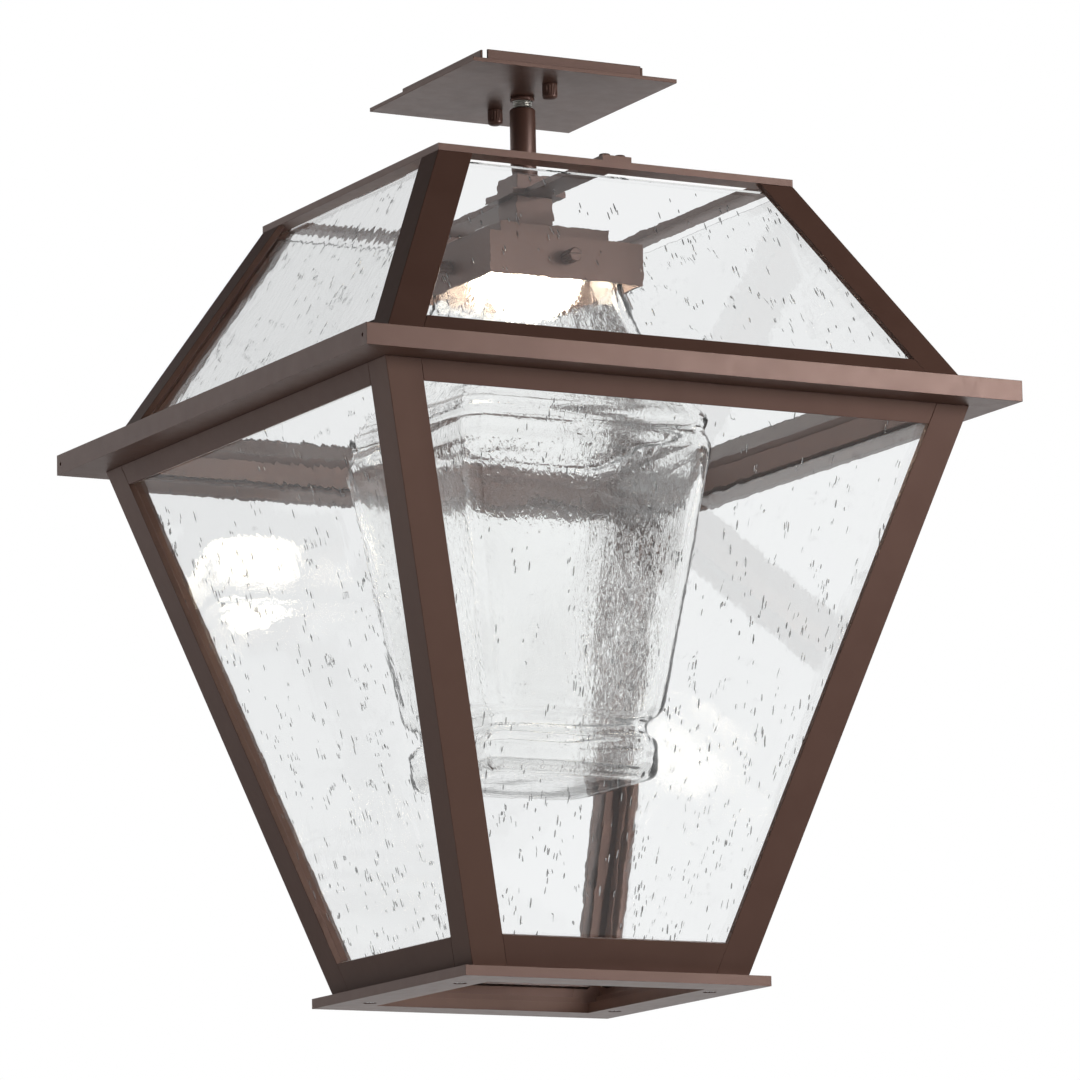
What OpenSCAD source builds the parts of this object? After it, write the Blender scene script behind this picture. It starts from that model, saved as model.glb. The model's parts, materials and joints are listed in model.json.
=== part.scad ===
// Porch ceiling lantern: a tapered square body of seeded glass under a wide
// square flange, a sloping glass roof, a short round stem and a ceiling plate,
// with a cast glass shade and its light source inside.
// Origin: centre of the ceiling mounting face. The lantern hangs towards -Z,
// the front is -Y. Millimetres.

/* [Ceiling canopy] */
// Side of the square ceiling plate
canopy_w = 114.3; // [100:1:150]
// Thickness of the ceiling plate
canopy_t = 2; // [1.5:0.5:4]
// Height of the pan, from the ceiling to the plate
pan_h = 8; // [8:0.5:14]
// Sheet thickness of the pan
pan_t = 1.2; // [0.8:0.2:2]
// Width of the arms of the mounting bracket
bracket_arm = 20; // [18:1:24]
// Thickness of the mounting bracket
bracket_t = 2; // [1.5:0.5:3]
// Distance between the two ceiling box screws
box_screw_gap = 69.85; // [66:0.05:72]
// Width of the slots for the ceiling box screws
box_slot_w = 4.8; // [4:0.2:6]
// End-to-end length of those slots
box_slot_l = 12; // [8:0.5:13]
// Metal left beyond the slots, at the ends of the arms
bracket_end = 2.5; // [2:0.5:5]
// Distance between the two cap nuts
nut_gap = 59; // [50:1:64]
// Diameter of the studs
stud_d = 4; // [3:0.5:5]
// Diameter of a cap nut
nut_d = 7.6; // [7:0.2:10]
// Height of a cap nut
nut_h = 8; // [6:0.5:12]

/* [Stem] */
// Drop from the ceiling plate to the top of the roof
stem_drop = 54.5; // [40:0.5:300]
// Wall of the stem around its threaded pipes
stem_wall = 1.55; // [1.2:0.05:5]
// Outer diameter of the threaded pipes
nipple_d = 9.9; // [8:0.1:11]
// Bore of the threaded pipes
nipple_bore = 6.4; // [4:0.2:7]
// How far the ring under the plate stands out from the pipe
washer_over = 1.25; // [0.8:0.05:3]
// Thickness of that ring
washer_t = 2.4; // [1:0.2:4]
// Length of thin neck that shows above the stem
neck_show = 3.5; // [1:0.5:8]

/* [Roof] */
// Height of the roof, from the flange to its top frame
roof_h = 110; // [90:1:160]
// How far the roof's foot stands back from the edge of the flange
roof_inset = 19.3; // [16:0.1:22]
// Outer width of the roof under its top frame
roof_top_w = 196.6; // [170:1:240]
// Height of the lower roof rail along the slope
roof_rail_h = 14; // [10:0.5:24]
// Width of the bars of the top frame
top_bar_w = 12; // [9:0.5:18]
// Thickness of the bars of the top frame
top_bar_t = 3.5; // [2.5:0.5:6]
// Width of the bridge that carries the frame
bridge_w = 16; // [12:1:26]
// Thickness of the bridge
bridge_t = 3; // [2:0.5:5]

/* [Flange] */
// Outer width of the square flange
flange_w = 355.6; // [345:1:400]
// Thickness of the flange
flange_t = 10.4; // [8:0.2:16]
// Width of each flange bar
flange_bar_w = 26; // [25:1:40]
// Diameter of the corner pins
pin_d = 1.8; // [1.2:0.2:3]

/* [Body] */
// Height of the tapered body
body_h = 273.5; // [230:1:340]
// How far the body's top stands back from the edge of the flange
body_inset = 18.8; // [16:0.1:22]
// Outer width of the body at the bottom ring
body_bottom_w = 150.6; // [140:1:190]
// Leg width of the corner posts
post_w = 18.5; // [15:0.5:24]
// Metal thickness of posts and rails
frame_t = 3.2; // [2:0.2:4]
// Height of the top rails along the slope
top_rail_h = 10.6; // [8:0.2:20]
// Height of the bottom rails along the slope
bottom_rail_h = 16; // [12:0.5:24]
// Overall reach of the bottom rails' inner leg from the outside
bottom_leg = 13; // [12:0.5:15]

/* [Bottom ring] */
// How far the bottom ring stands out from the body
ring_over = 8; // [3:0.5:20]
// Thickness of the bottom ring
ring_t = 5; // [3:0.5:8]
// Width of the ring's bars around its square opening
ring_bar_w = 23.8; // [22:0.2:36]
// From the body's side to the ring screws
ring_screw_in = 6.8; // [6:0.1:8]
// From the body's corner to the ring screws, along the side
ring_screw_along = 26.8; // [24:0.2:60]

/* [Glass] */
// Thickness of the panes
pane_t = 3; // [2:0.5:5]
// How far a pane reaches behind the frame at its sides
pane_lap = 8; // [5:0.5:9]
// Wall of the inner glass
shade_wall = 4; // [3:0.5:5]
// Depth of the inner glass below the top of its neck
shade_h = 264.5; // [200:0.5:300]
// Half width of the inner glass at its shoulder
shade_r = 67; // [60:1:76]
// Half width of the inner glass at its lower end
shade_low_r = 44; // [38:1:52]
// Half width of its neck
shade_neck_r = 37; // [35:0.5:38]

/* [Fitter and light] */
// Width of the square centre tube
tube_w = 20.4; // [18:0.2:26]
// Wall of the centre tube
tube_wall = 1.6; // [1:0.2:3]
// Distance from the roof's top down to the fitter cap
fitter_drop = 18.6; // [12:0.2:40]
// Width of the raised cap on the fitter
cap_w = 60.6; // [50:1:70]
// Height of the raised cap
cap_h = 8.5; // [5:0.5:12]
// Clearance between the fitter box and the bead of the glass neck
fitter_gap = 1.7; // [1:0.1:4]
// Height of the fitter box
fitter_h = 21; // [18:0.5:28]
// Wall of the fitter box
fitter_wall = 1.6; // [1.2:0.2:2.4]
// Diameter of a thumb screw's head
thumb_d = 6.8; // [6:0.2:10]
// Length of a thumb screw's head
thumb_l = 9; // [6:0.5:12]
// Clearance between the heat sink and the glass neck
sink_gap = 4; // [2:0.5:8]

/* [Hidden] */
$fn = 64;
eps = 0.01;
big = 1000;
// clearance of a screw that turns in its hole, on the radius
run_gap = 0.05;
// gap between a pane and the metal next to it
pane_gap = 0.2;
// gap between pieces that must not touch
free_gap = 0.35;

// widths
bracket_inset = 1;
bracket_half = (box_screw_gap + box_slot_l) / 2 + bracket_end;
pan_w = 2 * (bracket_half + bracket_inset + pan_t);
stem_d = nipple_d + 2 * stem_wall;
washer_d = nipple_d + 2 * washer_over;
roof_base_w = flange_w - 2 * roof_inset;
body_top_w = flange_w - 2 * body_inset;
ring_w = body_bottom_w + 2 * ring_over;
ring_open = ring_w - 2 * ring_bar_w;
shade_bead = 2.6;
bead_r = shade_neck_r + shade_bead;
fitter_w = 2 * (bead_r + fitter_gap + fitter_wall);
sink_r = shade_neck_r - shade_wall - sink_gap;

// heights, from the ceiling down
canopy_z = -(pan_h + canopy_t);
stem_top_z = canopy_z - washer_t - neck_show;
roof_top_z = canopy_z - stem_drop;
flange_z = roof_top_z - roof_h;
body_top_z = flange_z - flange_t;
ring_z = body_top_z - body_h;
bottom_z = ring_z - ring_t;

// centre stack
bridge_top_z = roof_top_z + bridge_t;
spacer_h = 8.5;
stem_low_z = bridge_top_z + spacer_h;
fitter_cap_z = roof_top_z - fitter_drop;
fitter_z = fitter_cap_z - cap_h;
fitter_roof_t = 2;
fitter_roof_z = fitter_z - fitter_roof_t;
fitter_low_z = fitter_z - fitter_h;
thumb_z = fitter_z - fitter_h / 2;
lock_nut_h = 3.5;
lock_nut_af = nipple_d + 4.1;
// how far each threaded pipe reaches into the stem, and the least space between them
pipe_reach = min(16, (stem_top_z - stem_low_z - 5) / 2);
center_nipple_low_z = fitter_roof_z - lock_nut_h - 0.8;
center_nipple_top_z = stem_low_z + pipe_reach;
canopy_nipple_top_z = -pan_h + pan_t + lock_nut_h + 0.4;
canopy_nipple_low_z = stem_top_z - pipe_reach;

// light source
sink_t = 4.5;
board_t = 1.6;
lens_h = 7;
sink_low_z = fitter_roof_z - sink_t;
board_low_z = sink_low_z - board_t;

// inner glass
gasket_t = 1.2;
shade_top_z = fitter_roof_z - gasket_t;

// frusta: [half width below, half width above, z below, z above]
roof = [roof_base_w / 2, roof_top_w / 2, flange_z, roof_top_z - top_bar_t];
body = [body_bottom_w / 2, body_top_w / 2, ring_z, body_top_z];

// colours
bronze = [0.27, 0.22, 0.19];
bronze_light = [0.36, 0.31, 0.29];
steel = [0.62, 0.62, 0.6];
clear = [0.85, 0.88, 0.88, 0.4];

SIDES = ["front", "right", "back", "left"];
CORNERS = ["front_right", "back_right", "back_left", "front_left"];

// ---------- sloping faces ----------

// length of a frustum's face along its slope
function slope(f) = norm([f[1] - f[0], f[3] - f[2]]);
// half width of a face, v along the slope from its lower edge
function half_at(f, v) = f[0] + v * (f[1] - f[0]) / slope(f);

// puts a flat shape on side i of frustum f: x along the face, y up the slope,
// z outwards, with z = 0 at the outer surface
module on_face(f, i) {
    rotate([0, 0, 90 * i])
        translate([0, -f[0], f[2]])
            rotate([atan2(f[3] - f[2], f[0] - f[1]), 0, 0])
                children();
}

// strip beside an arris: between o0 and o1 from it, v0 to v1, d0 to d1 deep
module edge_strip(f, o0, o1, v0, v1, d0, d1) {
    translate([0, 0, -d1])
        linear_extrude(d1 - d0)
            polygon([
                [half_at(f, v0) - o0, v0], [half_at(f, v1) - o0, v1],
                [half_at(f, v1) - o1, v1], [half_at(f, v0) - o1, v0]
            ]);
}

// strip across a face that stays o away from both arrises
module face_band(f, o, v0, v1, d0, d1) {
    translate([0, 0, -d1])
        linear_extrude(d1 - d0)
            polygon([
                [half_at(f, v0) - o, v0], [half_at(f, v1) - o, v1],
                [o - half_at(f, v1), v1], [o - half_at(f, v0), v0]
            ]);
}

// keeps what lies between two heights
module between(z0, z1) {
    intersection() {
        children();
        translate([-big / 2, -big / 2, z0]) cube([big, big, z1 - z0]);
    }
}

// how far strips run on before they are cut level
run_on = 6;

// corner post: an angle whose legs lie in two faces, run along the arris and cut
// level at both ends
module post(f, i) {
    lean = (f[1] - f[0]) * sqrt(2);
    arris = norm([lean, f[3] - f[2]]);
    // half the angle between the faces, and a leg's width square to the arris
    h = 90 - acos(pow((f[1] - f[0]) / slope(f), 2)) / 2;
    leg = post_w * slope(f) / arris;
    tip = leg * [-cos(h), -sin(h)];
    heel = tip + frame_t * [-sin(h), cos(h)];
    color(bronze)
        between(f[2], f[3])
            rotate([0, 0, 90 * i - 45])
                translate([f[0] * sqrt(2), 0, f[2]])
                    rotate([0, atan2(lean, f[3] - f[2]), 0])
                        translate([0, 0, -post_w])
                            linear_extrude(arris + 2 * post_w)
                                polygon([
                                    [0, 0], tip, heel, [-frame_t / sin(h), 0],
                                    [heel[0], -heel[1]], [tip[0], -tip[1]]
                                ]);
}

// flat rail between two posts
module rail(f, i, v0, v1) {
    between(f[2], f[3])
        on_face(f, i) face_band(f, post_w, v0, v1, 0, frame_t);
}

// glass pane behind the frame
module pane(f, i, v0, v1) {
    color(clear)
        on_face(f, i)
            face_band(f, post_w - pane_lap, v0, v1, frame_t + pane_gap, frame_t + pane_gap + pane_t);
}

// bent strips that hold the two upright edges of a pane
stop_t = 0.8;
stop_foot = 4;
stop_lip = 4.5;
module glass_stops(f, v0, v1) {
    inner = frame_t + 2 * pane_gap + pane_t;
    riser = post_w - pane_lap - free_gap;
    for (i = [0:3], side = [0, 1])
        on_face(f, i)
            mirror([side, 0, 0])
                union() {
                    edge_strip(f, riser - stop_foot, riser, v0, v1, frame_t, frame_t + stop_t);
                    edge_strip(f, riser - stop_t, riser, v0, v1, frame_t, inner + stop_t);
                    edge_strip(f, riser - stop_t, riser + stop_lip, v0, v1, inner, inner + stop_t);
                }
}

// flat bar with mitred ends, one side of a square frame
module mitred_bar(i, outer, w, z0, t) {
    rotate([0, 0, 90 * i])
        translate([0, 0, z0])
            linear_extrude(t)
                polygon([
                    [-outer, -outer], [outer, -outer],
                    [outer - w, w - outer], [w - outer, w - outer]
                ]);
}

// ---------- canopy ----------

wire_hole_d = 13;
ground_y = 14.5;
ground_d = 3.5;

module mounting_bracket() {
    color(steel)
        difference() {
            union() {
                translate([-bracket_half, -bracket_arm / 2, -bracket_t])
                    cube([2 * bracket_half, bracket_arm, bracket_t]);
                translate([-bracket_arm / 2, -bracket_half, -bracket_t])
                    cube([bracket_arm, 2 * bracket_half, bracket_t]);
            }
            // slots for the ceiling box screws
            for (s = [-1, 1])
                translate([s * box_screw_gap / 2, 0, -bracket_t - 1])
                    linear_extrude(bracket_t + 2) {
                        square([box_slot_l - box_slot_w, box_slot_w], center = true);
                        for (e = [-1, 1])
                            translate([e * (box_slot_l - box_slot_w) / 2, 0])
                                circle(d = box_slot_w);
                    }
            // way for the wires
            translate([0, 0, -bracket_t - 1]) cylinder(d = wire_hole_d, h = bracket_t + 2);
            // stud holes and the earth screw's hole
            for (s = [-1, 1])
                translate([0, s * nut_gap / 2, -bracket_t - 1])
                    cylinder(d = stud_d, h = bracket_t + 2);
            translate([0, ground_y, -bracket_t - 1]) cylinder(d = ground_d, h = bracket_t + 2);
        }
}

module ground_screw() {
    head_d = 7;
    head_h = 2;
    color([0.2, 0.45, 0.25])
        translate([0, ground_y, -bracket_t]) {
            translate([0, 0, -head_h]) cylinder(d = head_d, h = head_h, $fn = 6);
            translate([0, 0, -eps]) cylinder(d = ground_d, h = bracket_t - 0.4 + eps);
        }
}

stud_low_z = canopy_z - nut_h + 2.2;

module bracket_studs() {
    color(steel)
        for (s = [-1, 1])
            translate([0, s * nut_gap / 2, stud_low_z])
                cylinder(d = stud_d, h = -stud_low_z - 0.2);
}

module canopy_pan() {
    // relief at the corners, where the flanges are bent up
    relief = 2.5;
    color(steel)
        difference() {
            translate([-pan_w / 2, -pan_w / 2, -pan_h]) cube([pan_w, pan_w, pan_h]);
            translate([pan_t - pan_w / 2, pan_t - pan_w / 2, pan_t - pan_h])
                cube([pan_w - 2 * pan_t, pan_w - 2 * pan_t, pan_h]);
            for (x = [-1, 1], y = [-1, 1])
                translate([x * pan_w / 2, y * pan_w / 2, pan_t - pan_h + pan_h / 2])
                    cube([2 * relief, 2 * relief, pan_h], center = true);
            translate([0, 0, -pan_h - 1]) cylinder(d = nipple_d + 0.4, h = pan_t + 2);
            for (s = [-1, 1])
                translate([0, s * nut_gap / 2, -pan_h - 1]) cylinder(d = stud_d + 1, h = pan_t + 2);
        }
}

module canopy_plate() {
    color(bronze_light)
        difference() {
            translate([-canopy_w / 2, -canopy_w / 2, canopy_z]) cube([canopy_w, canopy_w, canopy_t]);
            translate([0, 0, canopy_z - 1]) cylinder(d = nipple_d + 0.4, h = canopy_t + 2);
            for (s = [-1, 1])
                translate([0, s * nut_gap / 2, canopy_z - 1])
                    cylinder(d = stud_d + 1, h = canopy_t + 2);
        }
}

// round cap nut with a domed end and fluted side
module cap_nut(s) {
    dome = 1.6;
    flutes = 16;
    color(bronze)
        translate([0, s * nut_gap / 2, canopy_z - nut_h])
            difference() {
                rotate_extrude()
                    polygon(concat(
                        [[0, nut_h], [nut_d / 2, nut_h]],
                        [for (a = [0:15:90]) [nut_d / 2 * cos(a), dome - dome * sin(a)]]
                    ));
                for (k = [0:flutes - 1])
                    rotate([0, 0, 360 / flutes * k])
                        translate([nut_d / 2 + 0.25, 0, dome + 0.6])
                            cylinder(r = 0.5, h = nut_h - dome - 1.4, $fn = 16);
                translate([0, 0, 2]) cylinder(r = stud_d / 2 + run_gap, h = nut_h);
            }
}

// ---------- stem ----------

module threaded_pipe(z0, z1) {
    color(steel)
        translate([0, 0, z0])
            difference() {
                cylinder(d = nipple_d, h = z1 - z0);
                translate([0, 0, -1]) cylinder(d = nipple_bore, h = z1 - z0 + 2);
            }
}

module lock_nut(z0) {
    translate([0, 0, z0])
        difference() {
            cylinder(d = lock_nut_af / cos(30), h = lock_nut_h, $fn = 6);
            translate([0, 0, -1]) cylinder(d = nipple_d, h = lock_nut_h + 2);
        }
}

module lock_nuts() {
    color(steel) {
        lock_nut(-pan_h + pan_t);
        lock_nut(fitter_roof_z - lock_nut_h);
    }
}

module stem_washer() {
    color(bronze)
        translate([0, 0, canopy_z - washer_t])
            rotate_extrude()
                polygon([
                    [nipple_d / 2, 0], [washer_d / 2 - 0.6, 0], [washer_d / 2, 0.6],
                    [washer_d / 2, washer_t - 0.6], [washer_d / 2 - 0.6, washer_t],
                    [nipple_d / 2, washer_t]
                ]);
}

module stem() {
    bevel = 1;
    color(bronze)
        rotate_extrude()
            polygon([
                [nipple_d / 2, stem_low_z], [stem_d / 2, stem_low_z],
                [stem_d / 2, stem_top_z - bevel], [stem_d / 2 - bevel, stem_top_z],
                [nipple_d / 2, stem_top_z]
            ]);
}

// ---------- centre stack ----------

module stem_spacer() {
    color(bronze)
        translate([0, 0, bridge_top_z])
            difference() {
                translate([-tube_w / 2, -tube_w / 2, 0]) cube([tube_w, tube_w, spacer_h]);
                translate([0, 0, -1]) cylinder(d = nipple_d, h = spacer_h + 2);
            }
}

bridge_screw_gap = 8.4;
bridge_screw_d = 3;
bridge_screw_head_d = 5.6;
bridge_screw_head_h = 1.6;

// centres of the screws that hold the bridge to the top frame
module bridge_screw_places() {
    for (s = [-1, 1], x = [-1, 1])
        translate([x * bridge_screw_gap / 2, s * (roof[1] - top_bar_w / 2), 0]) children();
}

module roof_bridge() {
    pad = 30;
    color(bronze)
        translate([0, 0, roof_top_z])
            difference() {
                union() {
                    translate([-bridge_w / 2, 1 - roof[1], 0])
                        cube([bridge_w, 2 * (roof[1] - 1), bridge_t]);
                    translate([-pad / 2, -pad / 2, 0]) cube([pad, pad, bridge_t]);
                }
                translate([0, 0, -1]) cylinder(d = nipple_d, h = bridge_t + 2);
                translate([0, 0, -1])
                    bridge_screw_places() cylinder(d = bridge_screw_d, h = bridge_t + 2);
            }
}

module bridge_screws() {
    color(bronze_light)
        translate([0, 0, roof_top_z])
            bridge_screw_places() {
                translate([0, 0, -top_bar_t]) cylinder(d = bridge_screw_d, h = top_bar_t + bridge_t);
                translate([0, 0, bridge_t]) cylinder(d = bridge_screw_head_d, h = bridge_screw_head_h);
            }
}

module center_tube() {
    top_wall = 3;
    color(bronze_light)
        difference() {
            translate([-tube_w / 2, -tube_w / 2, fitter_cap_z]) cube([tube_w, tube_w, fitter_drop]);
            translate([tube_wall - tube_w / 2, tube_wall - tube_w / 2, fitter_cap_z - 1])
                cube([tube_w - 2 * tube_wall, tube_w - 2 * tube_wall, fitter_drop - top_wall + 1]);
            translate([0, 0, fitter_cap_z]) cylinder(d = nipple_d, h = fitter_drop + 1);
        }
}

module fitter_cap() {
    color(bronze_light)
        difference() {
            translate([-cap_w / 2, -cap_w / 2, fitter_z]) cube([cap_w, cap_w, cap_h]);
            translate([0, 0, fitter_z - 1]) cylinder(d = nipple_d, h = cap_h + 2);
        }
}

thumb_shank_d = 4;

module fitter_box() {
    boss_d = 9;
    boss_l = 2.2;
    color(bronze_light)
        difference() {
            union() {
                difference() {
                    translate([-fitter_w / 2, -fitter_w / 2, fitter_low_z])
                        cube([fitter_w, fitter_w, fitter_h]);
                    translate([fitter_wall - fitter_w / 2, fitter_wall - fitter_w / 2, fitter_low_z - 1])
                        cube([fitter_w - 2 * fitter_wall, fitter_w - 2 * fitter_wall, fitter_h - fitter_roof_t + 1]);
                }
                for (i = [0:3])
                    rotate([0, 0, 90 * i])
                        translate([0, -fitter_w / 2 + fitter_wall - eps, thumb_z])
                            rotate([-90, 0, 0]) cylinder(d = boss_d, h = boss_l + eps);
            }
            for (i = [0:3])
                rotate([0, 0, 90 * i])
                    translate([0, -fitter_w / 2 - 1, thumb_z])
                        rotate([-90, 0, 0])
                            cylinder(d = thumb_shank_d + 2 * run_gap, h = fitter_wall + boss_l + 2);
            translate([0, 0, fitter_roof_z - 1]) cylinder(d = nipple_d, h = 4);
        }
}

// thumb screw: fluted head outside the fitter, plain tip against the glass neck
module thumb_screw(i) {
    flutes = 14;
    head_gap = 0.5;
    tip = shade_neck_r + free_gap;
    color(bronze)
        rotate([0, 0, 90 * i])
            translate([0, -fitter_w / 2 - head_gap, thumb_z])
                rotate([90, 0, 0])
                    difference() {
                        rotate_extrude()
                            polygon([
                                [0, tip - fitter_w / 2 - head_gap],
                                [thumb_shank_d / 2, tip - fitter_w / 2 - head_gap],
                                [thumb_shank_d / 2, 0], [thumb_d / 2, 0],
                                [thumb_d / 2, thumb_l - 0.5], [thumb_d / 2 - 0.5, thumb_l], [0, thumb_l]
                            ]);
                        for (k = [0:flutes - 1])
                            rotate([0, 0, 360 / flutes * k])
                                translate([thumb_d / 2 + 0.25, 0, 1])
                                    cylinder(r = 0.5, h = thumb_l - 2.2, $fn = 16);
                        translate([-thumb_d, -0.4, thumb_l - 0.9]) cube([2 * thumb_d, 0.8, 2]);
                    }
}

// ---------- light source and inner glass ----------

module led_heat_sink() {
    color([0.75, 0.75, 0.76])
        translate([0, 0, sink_low_z])
            difference() {
                cylinder(r = sink_r, h = sink_t);
                translate([0, 0, -1]) cylinder(r = lock_nut_af / 2 / cos(30) + 0.6, h = sink_t + 2);
            }
}

module led_board() {
    color([0.93, 0.93, 0.9])
        translate([0, 0, board_low_z]) cylinder(r = sink_r - 0.5, h = board_t);
}

// shallow domed diffuser over the board
module led_lens() {
    rim = 1.5;
    r = sink_r - 0.5;
    color([1, 0.95, 0.82])
        translate([0, 0, board_low_z])
            rotate_extrude()
                polygon(concat(
                    [[0, 0], [r, 0]],
                    [for (a = [0:9:90]) [r * cos(a), -rim - (lens_h - rim) * sin(a)]]
                ));
}

module glass_gasket() {
    color([0.2, 0.2, 0.2])
        translate([0, 0, shade_top_z])
            linear_extrude(gasket_t)
                difference() {
                    square(2 * (bead_r - 1), center = true);
                    square(2 * (shade_neck_r - shade_wall + 1), center = true);
                }
}

// points of a square with rounded corners, counter-clockwise
corner_steps = 5;
function ring_points(r, c) = [
    for (q = [0:3], k = [0:corner_steps])
        let (a = 90 * q + 90 * k / corner_steps,
             sx = (q == 0 || q == 3) ? 1 : -1,
             sy = (q < 2) ? 1 : -1)
            [sx * (r - c) + c * cos(a), sy * (r - c) + c * sin(a)]
];

// depth below the neck's top, half width and corner radius of the outside,
// from the neck's bead down to the lip
shoulder = 87.5;
shade_outer = [
    [0, bead_r - 0.8, 9], [1, bead_r, 9], [2.6, bead_r, 9], [3.6, shade_neck_r, 8.5],
    [15.5, shade_neck_r, 8.5], [23, shade_neck_r + 2, 9],
    [42, shade_neck_r + 7.5, 10], [60, shade_neck_r + 14.5, 11],
    [shoulder - 8, shade_r - 5, 12], [shoulder - 1, shade_r - 0.5, 12.5],
    [shoulder + 1.5, shade_r, 12.5], [shoulder + 4.5, shade_r - 2.2, 12],
    [shoulder + 7, shade_r - 2, 12], [shoulder + 10, shade_r - 0.6, 12.5],
    [shoulder + 14.5, shade_r - 0.4, 12.5], [shoulder + 19, shade_r - 1.2, 12.5],
    [shade_h - 32, shade_low_r + 0.6, 10.5], [shade_h - 29.5, shade_low_r - 0.6, 10.5],
    [shade_h - 27, shade_low_r - 3.2, 10], [shade_h - 23, shade_low_r - 3, 10],
    [shade_h - 20, shade_low_r - 0.4, 10.5], [shade_h - 16.5, shade_low_r + 0.1, 10.5],
    [shade_h - 4, shade_low_r - 1.2, 10], [shade_h - 1, shade_low_r - 2, 10],
    [shade_h, shade_low_r - 3.2, 9.5]
];
shade_inner = [
    [shade_h, shade_low_r - 1.4 - shade_wall, 7], [shade_h - 20, shade_low_r - 0.6 - shade_wall, 7.5],
    [shade_h - 25, shade_low_r - 3.4 - shade_wall, 7], [shade_h - 30, shade_low_r - 1 - shade_wall, 7.5],
    [shoulder + 16, shade_r - 1 - shade_wall, 9], [shoulder + 2, shade_r - 1.4 - shade_wall, 9],
    [shoulder - 8, shade_r - 6.5 - shade_wall, 8.5], [60, shade_neck_r + 13.5 - shade_wall, 7.5],
    [42, shade_neck_r + 6.8 - shade_wall, 7], [23, shade_neck_r + 1 - shade_wall, 6],
    [15.5, shade_neck_r - shade_wall, 6], [0, shade_neck_r - shade_wall, 6]
];

module inner_glass() {
    rings = concat(shade_outer, shade_inner);
    n = 4 * (corner_steps + 1);
    m = len(rings);
    points = [
        for (g = rings)
            for (p = ring_points(g[1], g[2])) [p[0], p[1], shade_top_z - g[0]]
    ];
    faces = [
        for (j = [0:m - 1], k = [0:n - 1])
            let (a = j * n, b = ((j + 1) % m) * n, k2 = (k + 1) % n)
                [a + k, a + k2, b + k2, b + k]
    ];
    color(clear) polyhedron(points = points, faces = faces, convexity = 6);
}

// ---------- roof ----------

module roof_lower_rail(i) {
    color(bronze) rail(roof, i, -run_on, roof_rail_h);
}

module roof_top_rails() {
    color(bronze)
        for (i = [0:3])
            difference() {
                mitred_bar(i, roof[1], top_bar_w, roof_top_z - top_bar_t, top_bar_t);
                translate([0, 0, roof_top_z - top_bar_t - 1])
                    bridge_screw_places() cylinder(d = bridge_screw_d, h = top_bar_t + 2);
            }
}

module roof_pane(i) {
    pane(roof, i, roof_rail_h - 7, slope(roof) - 2.5);
}

module roof_glass_stops() {
    color(bronze) glass_stops(roof, roof_rail_h, slope(roof) - 12);
}

// ---------- flange ----------

module flange_pin_places() {
    inset = 4.5;
    for (x = [-1, 1], y = [-1, 1])
        translate([x * flange_w / 2, y * (flange_w / 2 - inset), flange_z - flange_t / 2])
            rotate([0, -90 * x, 0])
                children();
}

pin_l = 14;

module flange_bar(i) {
    color(bronze_light)
        difference() {
            mitred_bar(i, flange_w / 2, flange_bar_w, body_top_z, flange_t);
            flange_pin_places() translate([0, 0, -1]) cylinder(d = pin_d, h = pin_l + 1);
        }
}

module flange_pins() {
    sunk = 0.4;
    color([0.12, 0.1, 0.1])
        flange_pin_places() translate([0, 0, sunk]) cylinder(d = pin_d, h = pin_l - sunk);
}

// ---------- body ----------

module body_top_rails() {
    color(bronze)
        for (i = [0:3]) rail(body, i, slope(body) - top_rail_h, slope(body) + run_on);
}

// half the length of a bottom rail's inner leg, where it meets the posts
leg_t = 3;
leg_half = body[0] - post_w;

module ring_screw_places() {
    for (x = [-1, 1], y = [-1, 1])
        translate([x * (body[0] - ring_screw_in), y * (body[0] - ring_screw_along), 0]) children();
}

ring_screw_d = 3;

module body_bottom_rails() {
    color(bronze)
        difference() {
            for (i = [0:3])
                union() {
                    rail(body, i, -run_on, bottom_rail_h);
                    rotate([0, 0, 90 * i])
                        translate([-leg_half, frame_t - body[0], ring_z])
                            cube([2 * leg_half, bottom_leg - frame_t, leg_t]);
                }
            translate([0, 0, ring_z - 1])
                ring_screw_places() cylinder(d = ring_screw_d, h = leg_t + 2);
        }
}

module body_pane(i) {
    pane(body, i, bottom_rail_h - 8, slope(body) - top_rail_h + 6);
}

module body_glass_stops() {
    color(bronze) glass_stops(body, bottom_rail_h + 2, slope(body) - top_rail_h - 4);
}

// ---------- bottom ring ----------

screw_head_d = 6.4;
screw_head_h = 1.7;

module bottom_ring() {
    color(bronze_light)
        difference() {
            translate([-ring_w / 2, -ring_w / 2, bottom_z]) cube([ring_w, ring_w, ring_t]);
            translate([-ring_open / 2, -ring_open / 2, bottom_z - 1])
                cube([ring_open, ring_open, ring_t + 2]);
            ring_screw_places() {
                translate([0, 0, bottom_z - 1]) cylinder(d = ring_screw_d, h = ring_t + 2);
                translate([0, 0, bottom_z - 1]) cylinder(d = screw_head_d + 0.4, h = 1 + screw_head_h);
            }
        }
}

module ring_screws() {
    color(steel)
        ring_screw_places() {
            translate([0, 0, bottom_z + 0.3]) cylinder(d = screw_head_d, h = screw_head_h - 0.3);
            translate([0, 0, bottom_z + screw_head_h - eps])
                cylinder(d = ring_screw_d, h = ring_t + leg_t - screw_head_h + eps);
        }
}

// ---------- what is shown ----------

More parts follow.
